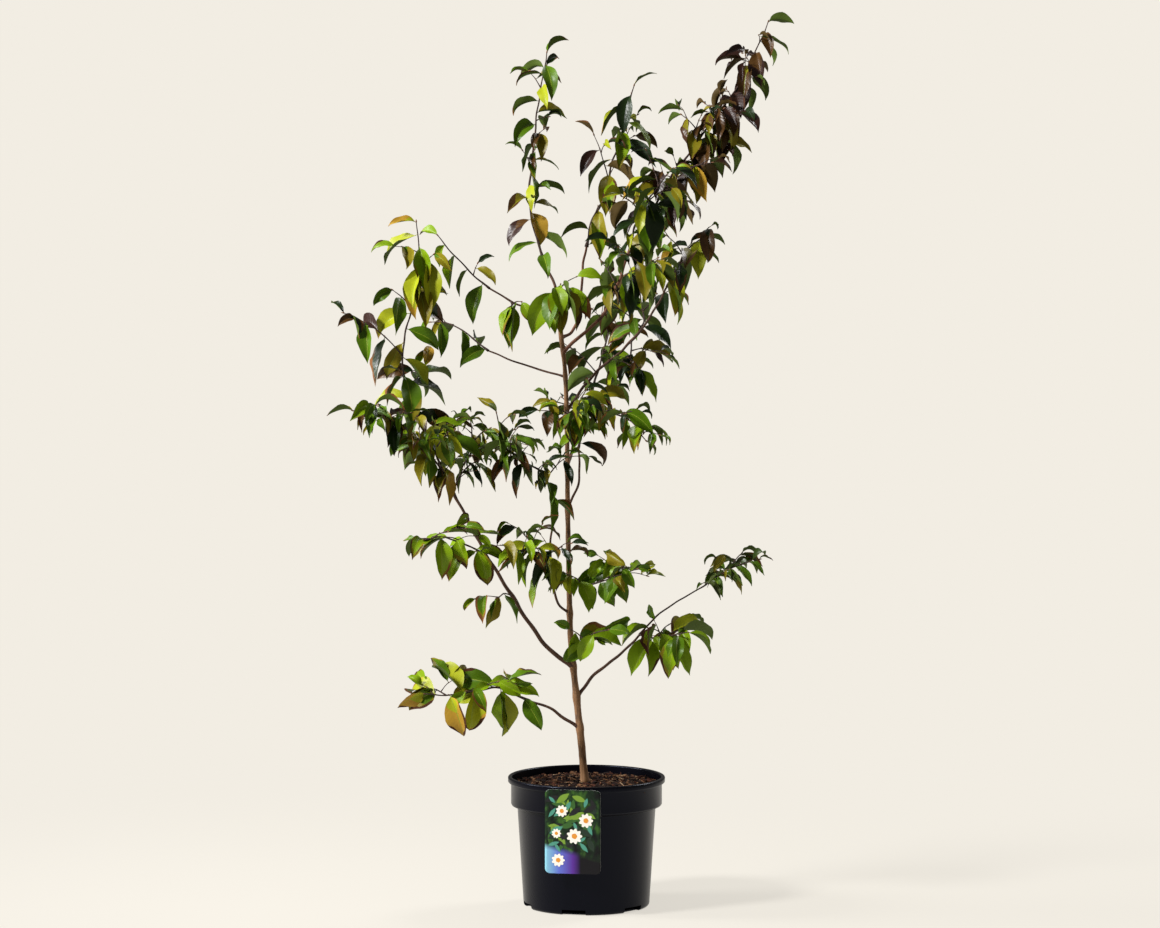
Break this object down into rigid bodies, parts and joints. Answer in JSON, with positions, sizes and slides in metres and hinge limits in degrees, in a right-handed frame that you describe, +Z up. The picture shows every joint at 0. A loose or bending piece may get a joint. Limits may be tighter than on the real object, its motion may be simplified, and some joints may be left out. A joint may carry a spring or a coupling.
{
  "type": "potted japanese stewartia tree",
  "caption": "Young multi-branched stewartia tree with autumn-tinted leaves, standing in a round black nursery pot with a plain picture card on its front.",
  "frame": {"origin": "centre of the flat underside of the pot", "axes": "+Z up the trunk, +X to the viewer's right, +Y away from the viewer"},
  "size_m": [0.759, 0.4567, 1.4751],
  "materials": {
    "black_plastic": "satin",
    "compost": "matte",
    "printed_card": "satin",
    "trunk_bark": "matte",
    "bough_bark": "matte",
    "green_leaves": "satin",
    "dark_leaves": "satin",
    "bronze_leaves": "satin"
  },
  "bodies": {
    "root": {"pot": "black_plastic", "soil": "compost", "plant_card": "printed_card", "trunk": "trunk_bark", "low_left_bough": "bough_bark", "low_right_bough": "bough_bark", "left_bough": "bough_bark", "inner_left_bough": "bough_bark", "inner_right_bough": "bough_bark", "back_bough": "bough_bark", "right_mid_bough": "bough_bark", "mid_left_bough": "bough_bark", "right_leader": "bough_bark", "middle_leader": "bough_bark", "upper_left_bough": "bough_bark", "left_leader": "bough_bark", "low_left_foliage": "green_leaves", "low_right_inner_foliage": "green_leaves", "low_right_outer_foliage": "green_leaves", "low_trunk_foliage": "green_leaves", "left_low_foliage": "green_leaves", "left_side_foliage": "green_leaves", "inner_left_foliage": "green_leaves", "inner_left_low_foliage": "green_leaves", "right_low_foliage": "green_leaves", "centre_right_foliage": "green_leaves", "centre_front_foliage": "green_leaves", "leader_base_foliage": "green_leaves", "left_tangle_foliage": "green_leaves", "far_left_foliage": "dark_leaves", "left_shoot_foliage": "dark_leaves", "mid_left_foliage": "dark_leaves", "upper_left_foliage": "dark_leaves", "upper_left_inner_foliage": "dark_leaves", "left_leader_foliage": "dark_leaves", "middle_leader_foliage": "dark_leaves", "right_mid_low_foliage": "dark_leaves", "crown_back_foliage": "dark_leaves", "crown_back_low_foliage": "dark_leaves", "right_leader_foliage": "bronze_leaves", "right_leader_inner_foliage": "bronze_leaves", "right_leader_low_foliage": "bronze_leaves", "right_mid_foliage": "bronze_leaves", "right_mid_back_foliage": "bronze_leaves"}
  },
  "joints": []
}
